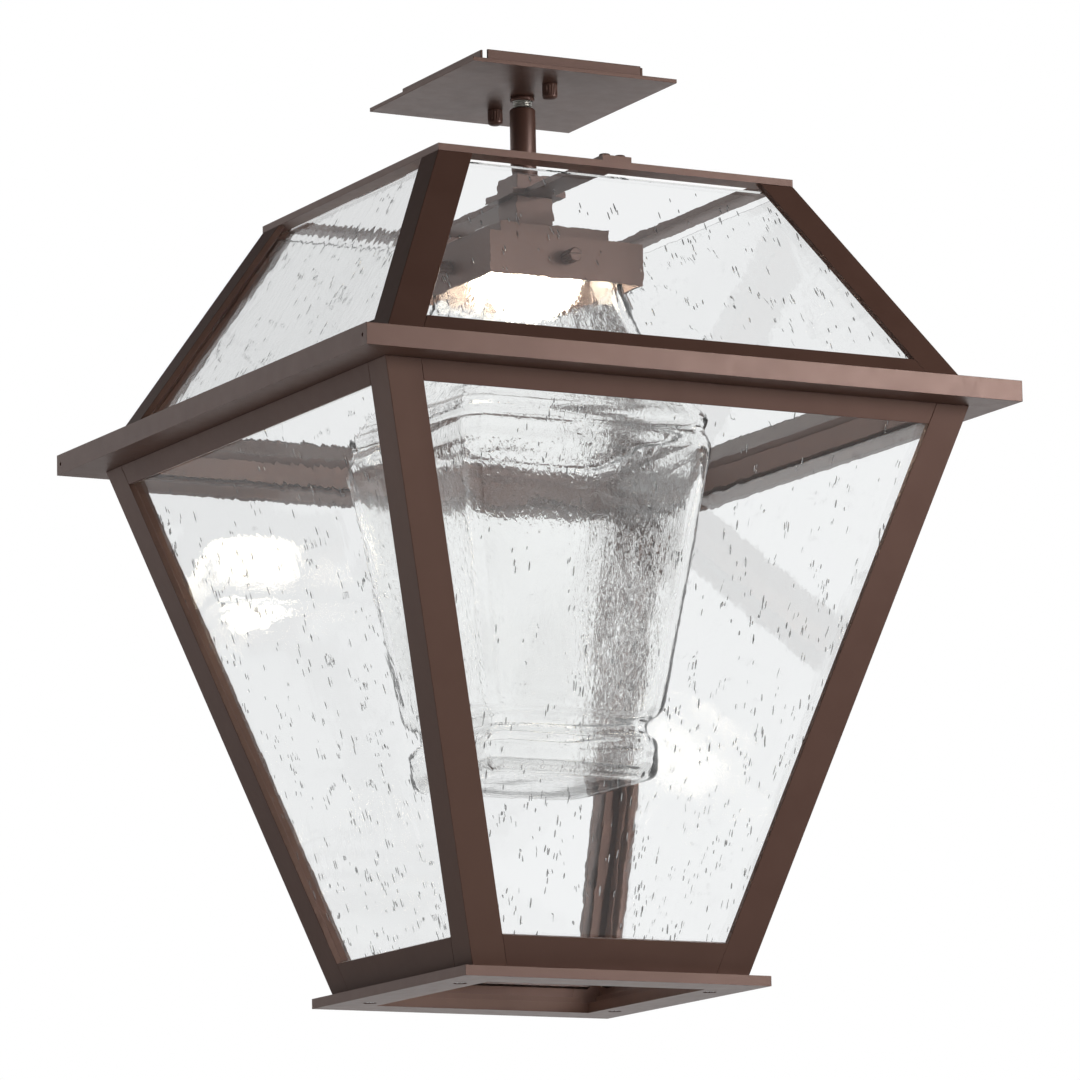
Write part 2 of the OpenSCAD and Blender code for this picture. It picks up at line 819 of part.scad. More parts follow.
mounting_bracket();
bracket_studs();
ground_screw();
canopy_pan();
canopy_plate();
cap_nut(-1);  // cap_nut_front
cap_nut(1);  // cap_nut_back
threaded_pipe(canopy_nipple_low_z, canopy_nipple_top_z);  // canopy_nipple
lock_nuts();
stem_washer();
stem();
stem_spacer();
roof_bridge();
bridge_screws();
threaded_pipe(center_nipple_low_z, center_nipple_top_z);  // center_nipple
center_tube();
fitter_cap();
fitter_box();
led_heat_sink();
led_board();
led_lens();
glass_gasket();
inner_glass();
for (i = [0:3]) {
    thumb_screw(i);
    post(roof, i);
    roof_lower_rail(i);
    roof_pane(i);
    flange_bar(i);
    post(body, i);
    body_pane(i);
}
roof_top_rails();
roof_glass_stops();
flange_pins();
body_top_rails();
body_bottom_rails();
body_glass_stops();
bottom_ring();
ring_screws();
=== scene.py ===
"""Looks of the porch ceiling lantern: bronze powder coat, seeded panes, cast inner glass and its light."""

import json
import math
import random

import bmesh
import bpy
import numpy as np
from mathutils import Matrix, Vector, noise


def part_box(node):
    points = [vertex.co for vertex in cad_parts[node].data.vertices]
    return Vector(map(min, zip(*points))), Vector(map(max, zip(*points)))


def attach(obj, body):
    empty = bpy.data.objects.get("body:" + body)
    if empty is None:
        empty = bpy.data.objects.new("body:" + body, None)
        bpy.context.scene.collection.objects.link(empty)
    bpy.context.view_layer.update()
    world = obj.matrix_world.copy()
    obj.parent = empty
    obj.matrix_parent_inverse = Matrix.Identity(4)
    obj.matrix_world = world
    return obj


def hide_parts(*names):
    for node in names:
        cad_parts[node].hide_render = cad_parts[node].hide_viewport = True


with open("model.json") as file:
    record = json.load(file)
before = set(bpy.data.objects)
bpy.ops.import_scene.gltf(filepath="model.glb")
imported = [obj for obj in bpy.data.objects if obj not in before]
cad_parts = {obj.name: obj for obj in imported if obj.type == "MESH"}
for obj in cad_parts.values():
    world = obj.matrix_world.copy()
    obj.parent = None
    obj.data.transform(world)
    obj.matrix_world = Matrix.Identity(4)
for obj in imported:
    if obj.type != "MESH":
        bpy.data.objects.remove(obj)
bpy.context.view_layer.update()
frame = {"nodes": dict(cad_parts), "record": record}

MM = 0.001
SCENE = bpy.context.scene
NODES = frame["nodes"]
BODY_OF = {node: body for body, nodes in frame["record"]["behaviour"]["bodies"].items() for node in nodes}
SLOT_OF = {part["node"]: part["material_slot"] for part in frame["record"]["subparts"]}
SIDES = ("front", "right", "back", "left")

# ---------- camera ----------

CAMERA_AT = Vector((-1.4331, -2.6950, -0.7720))
CAMERA_RIGHT = Vector((0.88361, -0.46784, -0.01891))
CAMERA_FORWARD = Vector((0.46376, 0.86891, 0.17303))
CAMERA_RANGE = (0.1, 50)
LENS = 208.2


def make_camera():
    """The photograph's viewpoint: from the front and left, below the lantern, through a long lens."""
    data = bpy.data.cameras.new("camera")
    data.lens = LENS
    data.clip_start, data.clip_end = CAMERA_RANGE
    camera = bpy.data.objects.new("camera", data)
    SCENE.collection.objects.link(camera)
    back = -CAMERA_FORWARD.normalized()
    right = (CAMERA_RIGHT - CAMERA_RIGHT.dot(back) * back).normalized()
    up = back.cross(right)
    camera.matrix_world = Matrix.Translation(CAMERA_AT) @ Matrix((right, up, back)).transposed().to_4x4()
    SCENE.camera = camera


make_camera()

# ---------- studio ----------

# the surround's colour as the camera sees it, through glass, mirrored behind glass, and as a light
SEEN = (1, 1, 1, 1)
THROUGH_GLASS = (0.94, 0.945, 0.95, 1)
BEHIND_GLASS = (0.6, 0.6, 0.6, 1)
LIGHTING = (1, 1, 1, 1)
# as a light it dims between these heights of a direction, from the first strength to the second
LIGHTING_HEIGHTS = (-0.4, 0.7)
LIGHTING_STRENGTHS = (0.24, 0.04)

# each lamp's place, the point it looks at, its width and height, and its power
MIDDLE = (0, 0, -0.25)
LAMPS = {
    # small box off the front right corner: the band that grows brighter along upright faces
    "front_box": ((0.80, -1.15, -0.04), (0.12, -0.16, -0.19), (0.6, 0.36), 11),
    # broad dim fill from above the camera
    "fill_box": ((-0.2, -2.6, 2.1), MIDDLE, (2.4, 1.4), 7),
    # edge light from behind, on the left
    "back_box": ((-1.6, 2.9, 0.5), MIDDLE, (2.8, 1.9), 15),
    # light from low behind, on the right: the sheen of undersides
    "low_box": ((2.0, 2.5, -0.85), MIDDLE, (2.0, 0.9), 6),
}

FLOOR_Z = -2.3
FLOOR_SIZE = 24
FLOOR_COLOUR = (0.84, 0.84, 0.83, 1)
FLOOR_ROUGHNESS = 0.9
# strength of the floor's own light, where it lights the lantern and where it is seen
FLOOR_GLOW = (0.27, 0.66)


def make_world():
    """A white surround for the camera, a little dimmer through glass. What it lights sees a dim studio.

    A sharp reflection that lies behind glass sees the white surround too, only dimmer.
    """
    world = bpy.data.worlds.new("studio")
    world.use_nodes = True
    tree = world.node_tree
    tree.nodes.clear()
    out = tree.nodes.new("ShaderNodeOutputWorld")
    path = tree.nodes.new("ShaderNodeLightPath")

    def background(name, colour):
        made = tree.nodes.new("ShaderNodeBackground")
        made.name = name
        made.inputs["Color"].default_value = colour
        return made

    def product(first, second):
        made = tree.nodes.new("ShaderNodeMath")
        made.operation = "MULTIPLY"
        made.use_clamp = True
        tree.links.new(first, made.inputs[0])
        tree.links.new(second, made.inputs[1])
        return made.outputs[0]

    # grey below and at the sides, nearly dark overhead
    lighting = background("lit", LIGHTING)
    direction = tree.nodes.new("ShaderNodeTexCoord")
    split = tree.nodes.new("ShaderNodeSeparateXYZ")
    tree.links.new(direction.outputs["Generated"], split.inputs[0])
    fall = tree.nodes.new("ShaderNodeMapRange")
    fall.inputs["From Min"].default_value, fall.inputs["From Max"].default_value = LIGHTING_HEIGHTS
    fall.inputs["To Min"].default_value, fall.inputs["To Max"].default_value = LIGHTING_STRENGTHS
    tree.links.new(split.outputs["Z"], fall.inputs["Value"])
    tree.links.new(fall.outputs["Result"], lighting.inputs["Strength"])
    # 1 where a sharply mirrored ray has been through glass before
    sharp = product(path.outputs["Is Glossy Ray"], path.outputs["Is Singular Ray"])
    behind = product(sharp, path.outputs["Transmission Depth"])
    shader = lighting.outputs[0]
    for name, colour, share in (
        ("behind", BEHIND_GLASS, behind),
        ("through", THROUGH_GLASS, path.outputs["Is Transmission Ray"]),
        ("seen", SEEN, path.outputs["Is Camera Ray"]),
    ):
        mix = tree.nodes.new("ShaderNodeMixShader")
        tree.links.new(share, mix.inputs[0])
        tree.links.new(shader, mix.inputs[1])
        tree.links.new(background(name, colour).outputs[0], mix.inputs[2])
        shader = mix.outputs[0]
    tree.links.new(shader, out.inputs["Surface"])
    SCENE.world = world


def make_lamp(name, place, target, size, power):
    """A soft box that lights and is mirrored, but isn't seen directly or through glass."""
    data = bpy.data.lights.new(name, "AREA")
    data.shape = "RECTANGLE"
    data.size, data.size_y = size
    data.energy = power
    light = bpy.data.objects.new(name, data)
    SCENE.collection.objects.link(light)
    light.location = place
    light.rotation_mode = "QUATERNION"
    light.rotation_quaternion = (Vector(target) - Vector(place)).to_track_quat("-Z", "Y")
    light.visible_camera = False
    light.visible_transmission = False


def make_floor():
    """A pale floor with an even light of its own, dimmer where it lights the lantern than where it shows."""
    bpy.ops.mesh.primitive_plane_add(size=FLOOR_SIZE, location=(0, 0, FLOOR_Z))
    floor = bpy.context.object
    floor.name = "floor"
    material = bpy.data.materials.new("floor_pale")
    material.use_nodes = True
    tree = material.node_tree
    shader = tree.nodes["Principled BSDF"]
    shader.inputs["Base Color"].default_value = FLOOR_COLOUR
    shader.inputs["Roughness"].default_value = FLOOR_ROUGHNESS
    shader.inputs["Emission Color"].default_value = (1, 1, 1, 1)
    path = tree.nodes.new("ShaderNodeLightPath")
    seen = tree.nodes.new("ShaderNodeMath")
    seen.operation = "MAXIMUM"
    tree.links.new(path.outputs["Is Camera Ray"], seen.inputs[0])
    tree.links.new(path.outputs["Is Transmission Ray"], seen.inputs[1])
    glow = tree.nodes.new("ShaderNodeMapRange")
    glow.inputs["To Min"].default_value, glow.inputs["To Max"].default_value = FLOOR_GLOW
    tree.links.new(seen.outputs[0], glow.inputs["Value"])
    tree.links.new(glow.outputs["Result"], shader.inputs["Emission Strength"])
    floor.data.materials.append(material)


SCENE.view_settings.view_transform = "Standard"
make_world()
for lamp, setting in LAMPS.items():
    make_lamp(lamp, *setting)
make_floor()

# ---------- materials ----------


class Look:
    """A material's node tree with its principled shader, and short ways to add nodes to it."""

    def __init__(self, name):
        self.material = bpy.data.materials.new(name)
        self.material.use_nodes = True
        self.tree = self.material.node_tree
        self.shader = self.tree.nodes["Principled BSDF"]
        self.output = self.tree.nodes["Material Output"]

    def set(self, **values):
        """Sets the shader's sockets: base_color=..., roughness=... and so on."""
        for key, value in values.items():
            socket = key.replace("_", " ").title().replace("Ior", "IOR")
            self.shader.inputs[socket].default_value = value
        return self

    def node(self, kind, **inputs):
        """A new node, with some of its sockets set."""
        made = self.tree.nodes.new("ShaderNode" + kind)
        for key, value in inputs.items():
            made.inputs[key.replace("_", " ").title()].default_value = value
        return made

    def link(self, source, target):
        self.tree.links.new(source, target)

    def drive(self, socket, value):
        """Feeds one of the shader's sockets from another node."""
        self.link(value, self.shader.inputs[socket])

    def place(self, scale=(1, 1, 1)):
        """Object coordinates, scaled along each axis."""
        coordinate = self.node("TexCoord")
        mapping = self.node("Mapping")
        mapping.inputs["Scale"].default_value = scale
        self.link(coordinate.outputs["Object"], mapping.inputs["Vector"])
        return mapping.outputs["Vector"]

    def noise(self, scale, detail=3, stretch=(1, 1, 1)):
        """Noise of about scale grains to a metre, more or fewer along each axis by stretch."""
        made = self.node("TexNoise", scale=scale, detail=detail)
        self.link(self.place(stretch), made.inputs["Vector"])
        return made.outputs["Fac"]

    def ranged(self, value, low, high, start=0.0, end=1.0):
        """value from start..end mapped to low..high."""
        made = self.node("MapRange")
        self.link(value, made.inputs["Value"])
        made.inputs["From Min"].default_value = start
        made.inputs["From Max"].default_value = end
        made.inputs["To Min"].default_value = low
        made.inputs["To Max"].default_value = high
        return made.outputs["Result"]

    def blended(self, value, first, second):
        """Colour between first and second, as value goes from 0 to 1."""
        made = self.node("Mix")
        made.data_type = "RGBA"
        self.link(value, made.inputs["Factor"])
        for socket, colour in ((made.inputs[6], first), (made.inputs[7], second)):
            if isinstance(colour, bpy.types.NodeSocket):
                self.link(colour, socket)
            else:
                socket.default_value = (*colour, 1)
        return made.outputs[2]

    def bump(self, height, distance, strength=1.0, below=None):
        """A normal tilted by height, whose relief is distance high, on top of the relief below."""
        made = self.node("Bump", strength=strength, distance=distance)
        self.link(height, made.inputs["Height"])
        if below is not None:
            self.link(below, made.inputs["Normal"])
        return made.outputs["Normal"]


BRONZE = ((0.104, 0.048, 0.034), (0.118, 0.057, 0.041))
WORN_BRONZE = (0.16, 0.085, 0.06)
# painted shade: darkest and palest grey of a bubble's skin, standing in for the dark rim bent light gives it
SEED_PAINTED_SHADE_GREYS = ((0.3, 0.3, 0.3), (0.8, 0.8, 0.8))
LENS_GLOWS = ((1.0, 0.86, 0.66), (1.0, 0.9, 0.74))
LENS_STRENGTH = 11.0
# index of refraction of every glass
GLASS_IOR = 1.5
# grains to a metre on paint, plastic and rubber
PLAIN_GRAIN = 600


def bronze_finish():
    """Satin bronze powder coat: fine orange peel, faint mottling and paler worn edges."""
    look = Look("bronze_powder_coat").set(specular_ior_level=0.5, metallic=0.3)
    mottling = look.ranged(look.noise(scale=38, detail=4), low=0, high=1, start=0.35, end=0.65)
    mottled = look.blended(mottling, *BRONZE)
    edges = look.node("NewGeometry").outputs["Pointiness"]
    worn = look.ranged(edges, low=0, high=0.55, start=0.53, end=0.62)
    look.drive("Base Color", look.blended(worn, mottled, WORN_BRONZE))
    look.drive("Roughness", look.ranged(look.noise(scale=160, detail=3), low=0.36, high=0.47))
    peel = look.bump(look.noise(scale=1700, detail=2), distance=0.04 * MM, strength=0.35)
    waves = look.noise(scale=420, detail=2)
    look.drive("Normal", look.bump(waves, distance=0.05 * MM, strength=0.25, below=peel))
    return look.material


def metal(name, colour, rough, brushed=(1, 1, 1)):
    """Bare or plated metal with fine directional marks."""
    look = Look(name).set(metallic=1.0)
    tint = look.ranged(look.noise(scale=90, detail=4), low=0, high=1, start=0.3, end=0.7)
    darker = tuple(0.78 * c for c in colour)
    look.drive("Base Color", look.blended(tint, darker, colour))
    marks = look.noise(scale=700, detail=2, stretch=brushed)
    look.drive("Roughness", look.ranged(marks, low=rough - 0.07, high=rough + 0.1))
    grain = look.noise(scale=1500, detail=2, stretch=brushed)
    look.drive("Normal", look.bump(grain, distance=0.03 * MM, strength=0.3))
    return look.material


def let_lamps_through(look, tint):
    """Glass that lamps shine through: a shadow ray passes straight on, a little tinted."""
    path = look.node("LightPath")
    clear = look.node("BsdfTransparent")
    clear.inputs["Color"].default_value = (*tint, 1)
    mix = look.node("MixShader")
    look.link(path.outputs["Is Shadow Ray"], mix.inputs[0])
    look.link(look.shader.outputs[0], mix.inputs[1])
    look.link(clear.outputs[0], mix.inputs[2])
    look.link(mix.outputs[0], look.output.inputs["Surface"])


def seeded_glass():
    """Clear drawn glass with faint waves. Its bubbles are in the mesh."""
    look = Look("seeded_glass").set(transmission_weight=1.0, ior=GLASS_IOR, roughness=0.0)
    look.set(base_color=(0.985, 0.99, 0.99, 1))
    fine = look.bump(look.noise(scale=170, detail=2, stretch=(1, 1, 0.3)), distance=0.025 * MM)
    slow = look.noise(scale=45, detail=2, stretch=(1, 1, 0.35))
    look.drive("Normal", look.bump(slow, distance=1.2 * MM, strength=0.12, below=fine))
    let_lamps_through(look, (0.92, 0.93, 0.93))
    return look.material


def seed_air_painted_shade():
    """The inside of a bubble, greyer than the glass: painted shade, a grey tint on light passing its skin
    that stands in for the dark rims bent light gives drawn seeds.
    """
    look = Look("seed_air_painted_shade").set(transmission_weight=1.0, ior=GLASS_IOR, roughness=0.0)
    spread = look.ranged(look.noise(scale=130, detail=1), low=0, high=1, start=0.35, end=0.65)
    look.drive("Base Color", look.blended(spread, *SEED_PAINTED_SHADE_GREYS))
    let_lamps_through(look, (0.7, 0.7, 0.7))
    return look.material


def cast_glass():
    """Thick clear cast glass with a hammered, slightly drawn skin."""
    look = Look("cast_glass").set(transmission_weight=1.0, ior=GLASS_IOR, roughness=0.0)
    look.set(base_color=(0.998, 1.0, 0.995, 1))
    blows = look.noise(scale=620, detail=2, stretch=(1, 1, 0.4))
    pits = look.bump(look.ranged(blows, low=0, high=1, start=0.56, end=0.82), distance=0.07 * MM)
    drawn = look.noise(scale=240, detail=2, stretch=(1, 1, 0.5))
    look.drive("Normal", look.bump(drawn, distance=0.03 * MM, below=pits))
    let_lamps_through(look, (0.9, 0.91, 0.9))
    return look.material


def lit_lens():
    """Frosted diffuser that glows warm, with a faint mottling."""
    look = Look("lit_lens").set(base_color=(0.9, 0.88, 0.82, 1), roughness=0.35)
    look.drive("Emission Color", look.blended(look.noise(scale=60, detail=2), *LENS_GLOWS))
    look.set(emission_strength=LENS_STRENGTH)
    return look.material


def plain(name, colour, rough):
    """Paint, plastic or rubber with a fine grain."""
    look = Look(name)
    lighter = tuple(min(1, 1.15 * c + 0.004) for c in colour)
    look.drive("Base Color", look.blended(look.noise(scale=120, detail=3), colour, lighter))
    grain = look.noise(scale=PLAIN_GRAIN, detail=2)
    look.drive("Roughness", look.ranged(grain, low=rough - 0.06, high=rough + 0.08))
    look.drive("Normal", look.bump(grain, distance=0.04 * MM, strength=0.3))
    return look.material


# the bubbles' material, whose grey is painted shade for their dark rims
SEED_AIR_PAINTED_SHADE = seed_air_painted_shade()
MATERIALS = {
    "bronze_finish": bronze_finish(),
    "zinc_steel": metal("zinc_plated_steel", (0.62, 0.61, 0.57), 0.34),
    "screw_steel": metal("bright_steel", (0.66, 0.65, 0.63), 0.25, (1, 1, 0.2)),
    "ground_green": plain("green_lacquer", (0.03, 0.19, 0.06), 0.35),
    "seeded_glass": seeded_glass(),
    "cast_glass": cast_glass(),
    "heat_sink": metal("turned_aluminium", (0.78, 0.78, 0.79), 0.3, (1, 1, 6)),
    "board": plain("white_board", (0.82, 0.82, 0.78), 0.45),
    "lens": lit_lens(),
    "gasket": plain("black_silicone", (0.02, 0.02, 0.02), 0.6),
}
# the pan is bent from the same powder-coated sheet as the plate
LOOK_OF = {"canopy_pan": "bronze_finish"}

# ---------- pieces ----------

EDGE_ROUND = 0.35 * MM
# smallest turn between two faces whose shared edge is rounded, in degrees
EDGE_ANGLE = 32
# largest turn between two faces that are merged into one, in degrees
FLAT_ANGLE = 0.5
WELD_GAP = 0.01 * MM


def add_piece(name, mesh, node, *replaced):
    """Links a new mesh that rides with the CAD node's body, has its finish and may stand for it."""
    piece = bpy.data.objects.new(name, mesh)
    SCENE.collection.objects.link(piece)
    mesh.materials.append(MATERIALS[SLOT_OF[node]])
    if replaced:
        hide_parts(*replaced)
    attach(piece, BODY_OF[node])
    return piece


def mesh_data(mesh, name):
    """Turns the mesh being built into finished mesh data."""
    data = bpy.data.meshes.new(name)
    mesh.to_mesh(data)
    mesh.free()
    return data


def turns(count):
    """Angles of count points, evenly spaced round a circle."""
    return [2 * math.pi * k / count for k in range(count)]


def soften(piece):
    """Merges a CAD mesh's split corners and rounds its sharp edges."""
    weld = piece.modifiers.new("weld", "WELD")
    weld.merge_threshold = WELD_GAP
    flat = piece.modifiers.new("flat", "DECIMATE")
    flat.decimate_type = "DISSOLVE"
    flat.angle_limit = math.radians(FLAT_ANGLE)
    bevel = piece.modifiers.new("bevel", "BEVEL")
    bevel.width = EDGE_ROUND
    bevel.segments = 2
    bevel.limit_method = "ANGLE"
    bevel.angle_limit = math.radians(EDGE_ANGLE)
    bevel.harden_normals = True


def finish_cad_nodes():
    """Gives each CAD node its finish, and rounds the edges of the bronze ones."""
    for name, node in NODES.items():
        look = LOOK_OF.get(name, SLOT_OF[name])
        node.data.materials.clear()
        node.data.materials.append(MATERIALS[look])
        if look == "bronze_finish":
            soften(node)


# ---------- seeded panes ----------

# shortest and longest bubble, and the power that makes short ones the more common
SEED_LENGTH = (2.0 * MM, 5.4 * MM)
SEED_SHORTNESS = 1.8
# thinnest and thickest bubble, and the share of it that the shortest ones keep
SEED_RADIUS = (0.28 * MM, 0.45 * MM)
SEED_THINNEST = 0.75
SEED_SIDES = 8
SEED_RINGS = 6
AREA_PER_SEED = 170e-6
# how many bubbles lie together, and how far apart across and up the pane
SEED_GROUPS = (1, 1, 2, 2, 3)
SEED_SPREAD = (2.2 * MM, 2.6 * MM)
# lean of a bubble from the slope, in degrees
SEED_TILT = 3
# glass left between a bubble and the pane's faces
SEED_SKIN = 0.35 * MM
# strip along the pane's outline without bubbles
PANE_EDGE = 6 * MM
SLAB_FACES = 6


def slab(node):
    """A pane's own frame, from its CAD mesh: centre, axes along it, up it and outwards, and its outline."""
    points = np.array([v.co for v in NODES[node].data.vertices])
    centre = points.mean(axis=0)
    normal = Vector(np.linalg.svd(points - centre)[2][2])
    if normal.dot(Vector((centre[0], centre[1], 0))) < 0:
        normal = -normal
    up = (Vector((0, 0, 1)) - normal.z * normal).normalized()
    along = up.cross(normal)
    local = [tuple(Vector(p - centre).dot(axis) for axis in (along, up, normal)) for p in points]
    low, high = min(p[1] for p in local), max(p[1] for p in local)
    middle = (low + high) / 2
    return {
        "centre": Vector(centre), "along": along, "up": up, "out": normal, "low": low, "high": high,
        "half_low": max(abs(p[0]) for p in local if p[1] < middle),
        "half_high": max(abs(p[0]) for p in local if p[1] > middle),
        "half_thick": max(abs(p[2]) for p in local),
    }


def add_seed(mesh, place, draw, length, radius):
    """Adds one bubble: a drawn-out drop whose faces look into it, so that it reads as air inside glass."""
    drawn = draw.normalized()
    side = drawn.orthogonal().normalized()
    other = drawn.cross(side)
    rings = []
    for i in range(1, SEED_RINGS):
        angle = math.pi * i / SEED_RINGS
        r = radius * math.sin(angle)
        centre = place - math.cos(angle) * length / 2 * drawn
        ring = [centre + r * (math.cos(t) * side + math.sin(t) * other) for t in turns(SEED_SIDES)]
        rings.append([mesh.verts.new(point) for point in ring])
    first = mesh.verts.new(place - length / 2 * drawn)
    last = mesh.verts.new(place + length / 2 * drawn)
    for k in range(SEED_SIDES):
        n = (k + 1) % SEED_SIDES
        mesh.faces.new((first, rings[0][k], rings[0][n]))
        mesh.faces.new((last, rings[-1][n], rings[-1][k]))
        for a, b in zip(rings, rings[1:]):
            mesh.faces.new((a[k], b[k], b[n], a[n]))


def pane_mesh(node, rng):
    """A pane's slab with bubbles inside, drawn out up the slope and gathered in small groups."""
    pane = slab(node)
    low, high, thick = pane["low"], pane["high"], pane["half_thick"]
    mesh = bmesh.new()

    def at(x, y, z):
        return pane["centre"] + x * pane["along"] + y * pane["up"] + z * pane["out"]

    def half(y):
        return pane["half_low"] + (pane["half_high"] - pane["half_low"]) * (y - low) / (high - low)

    def kept_inside(value, lowest, highest):
        return max(lowest + PANE_EDGE, min(highest - PANE_EDGE, value))

    corners = [(-1, low), (1, low), (1, high), (-1, high)]
    front = [mesh.verts.new(at(x * half(y), y, thick)) for x, y in corners]
    back = [mesh.verts.new(at(x * half(y), y, -thick)) for x, y in corners]
    mesh.faces.new(front)
    mesh.faces.new(back[::-1])
    for k in range(4):
        n = (k + 1) % 4
        mesh.faces.new((front[n], front[k], back[k], back[n]))

    area = (high - low) * (pane["half_low"] + pane["half_high"])
    left = int(area / AREA_PER_SEED)
    while left > 0:
        y = rng.uniform(low + PANE_EDGE, high - PANE_EDGE)
        x = rng.uniform(-1, 1) * (half(y) - PANE_EDGE)
        for _ in range(min(left, rng.choice(SEED_GROUPS))):
            left -= 1
            length = SEED_LENGTH[0] + (SEED_LENGTH[1] - SEED_LENGTH[0]) * rng.random() ** SEED_SHORTNESS
            fullness = SEED_THINNEST + (1 - SEED_THINNEST) * length / SEED_LENGTH[1]
            radius = rng.uniform(*SEED_RADIUS) * fullness
            tilt = math.radians(rng.gauss(0, SEED_TILT))
            depth = rng.uniform(-1, 1) * (thick - radius - SEED_SKIN)
            draw = math.cos(tilt) * pane["up"] + math.sin(tilt) * pane["along"]
            seed_x = kept_inside(x + rng.gauss(0, SEED_SPREAD[0]), -half(y), half(y))
            seed_y = kept_inside(y + rng.gauss(0, SEED_SPREAD[1]), low, high)
            add_seed(mesh, at(seed_x, seed_y, depth), draw, length, radius)

    data = mesh_data(mesh, node + "_glass")
    # the bubbles' faces take the second material, a grey that is painted shade
    for face in data.polygons[SLAB_FACES:]:
        face.use_smooth = True
        face.material_index = 1
    return data


def make_panes():
    """Two panes on each side, each with bubbles of its own."""
    for side in SIDES:
        for kind in ("roof_pane", "body_pane"):
            node = f"{kind}_{side}"
            rng = random.Random(f"{node} seeds")
            piece = add_piece(node + "_glass", pane_mesh(node, rng), node, node)
            # the bubbles take the grey material: painted shade for their dark rims
            piece.data.materials.append(SEED_AIR_PAINTED_SHADE)


# ---------- cast inner glass ----------

# half widths of the shade's neck, shoulder and foot, in mm
NECK_R = 37
SHOULDER_R = 69.5
LOW_R = 47.4
# depths of its shoulder, waist and end below the neck's top, in mm
SHOULDER = 85.5
DEPTH = 264.5
WAIST = DEPTH - 27
# thickness of its wall and base, and the half widths inside the wall, in mm
WALL = 4
BASE = 3
IN_R = SHOULDER_R - WALL
IN_LOW_R = LOW_R - WALL
# each point is a depth below the neck's top, a half width and a corner radius, in mm:
# the outside from the neck to the middle of the base
GLASS_OUTSIDE = (
    (0, NECK_R + 1.8, 9), (1, NECK_R + 2.6, 9), (2.6, NECK_R + 2.6, 9), (3.6, NECK_R, 8.5),
    (15.5, NECK_R, 8.5), (23, NECK_R + 2, 9), (42, NECK_R + 7.5, 10), (60, NECK_R + 15.2, 11),
    (SHOULDER - 7, SHOULDER_R - 5.4, 12), (SHOULDER - 0.5, SHOULDER_R - 1, 12.5),
    (SHOULDER + 1.3, SHOULDER_R - 0.4, 12.5), (SHOULDER + 4, SHOULDER_R - 2, 12),
    (SHOULDER + 6.5, SHOULDER_R - 2.4, 12), (SHOULDER + 9.5, SHOULDER_R - 0.8, 12.5),
    (SHOULDER + 14.5, SHOULDER_R, 12.5), (SHOULDER + 21, SHOULDER_R - 0.6, 12.5),
    (SHOULDER + 31, SHOULDER_R - 2, 12.5),
    (WAIST - 11, LOW_R + 3.1, 11), (WAIST - 7.5, LOW_R + 2.4, 11), (WAIST - 4.6, LOW_R + 0.4, 10.5),
    (WAIST - 3.4, LOW_R - 2.6, 10), (WAIST - 1.8, LOW_R - 3.9, 10), (WAIST + 3, LOW_R - 3.9, 10),
    (WAIST + 4.4, LOW_R - 3, 10), (WAIST + 6, LOW_R - 0.6, 10.5), (WAIST + 8, LOW_R, 10.5),
    (DEPTH - 5, LOW_R, 10.5), (DEPTH - 2.6, LOW_R - 0.9, 10), (DEPTH - 0.9, LOW_R - 2.6, 9),
    (DEPTH, LOW_R - 5, 8), (DEPTH, 20, 6), (DEPTH, 1, 0.8),
)
# the inside from the middle of the floor back to the neck
GLASS_INSIDE = (
    (DEPTH - BASE, 1, 0.8), (DEPTH - BASE, 20, 4), (DEPTH - BASE - 0.5, IN_LOW_R - 6, 5),
    (DEPTH - BASE - 3, IN_LOW_R - 1.6, 7), (WAIST + 10, IN_LOW_R - 0.2, 7.5), (WAIST + 3, IN_LOW_R - 3.9, 7),
    (WAIST - 2.5, IN_LOW_R - 3.9, 7), (WAIST - 9, IN_LOW_R + 2, 8), (SHOULDER + 31, IN_R - 2, 9),
    (SHOULDER + 15, IN_R - 0.4, 9), (SHOULDER + 6, IN_R - 2.6, 9), (SHOULDER + 1, IN_R - 1.6, 9),
    (SHOULDER - 7, IN_R - 6.3, 8.5), (60, NECK_R + 14.4 - WALL, 7.5), (42, NECK_R + 6.8 - WALL, 7),
    (23, NECK_R + 1 - WALL, 6), (15.5, NECK_R - WALL, 6), (0, NECK_R - WALL, 6),
)
# size of the mesh's faces down the glass and round it, in mm
GLASS_STEP = 1.6
GLASS_GRID = 2.3
# height of the slow waves, of the drawn streaks and of the rings near the ridges, in mm
SLOW_HEIGHT = 0.30
DRAWN_HEIGHT = 0.035
RING_HEIGHT = 0.34
# how far the skin is set in before its waves are added, in mm
SKIN_INSET = 0.35
# depth over which the skin's waves grow from the neck's plain top, in mm
WAVES_FROM = 14


def resampled(outline):
    """The outline's points, joined by straight stretches cut to about one mesh face."""
    points = [outline[0]]
    for a, b in zip(outline, outline[1:]):
        cuts = max(1, round(math.dist(a[:2], b[:2]) / GLASS_STEP))
        points += [tuple(p + (q - p) * k / cuts for p, q in zip(a, b)) for k in range(1, cuts + 1)]
    return points


def smoothed(points):
    """Rounds the outline's bends by averaging neighbours, with its ends kept."""
    threes = zip(points, points[1:], points[2:])
    inner = [tuple((a + 2 * b + c) / 4 for a, b, c in zip(*three)) for three in threes]
    return [points[0]] + inner + [points[-1]]


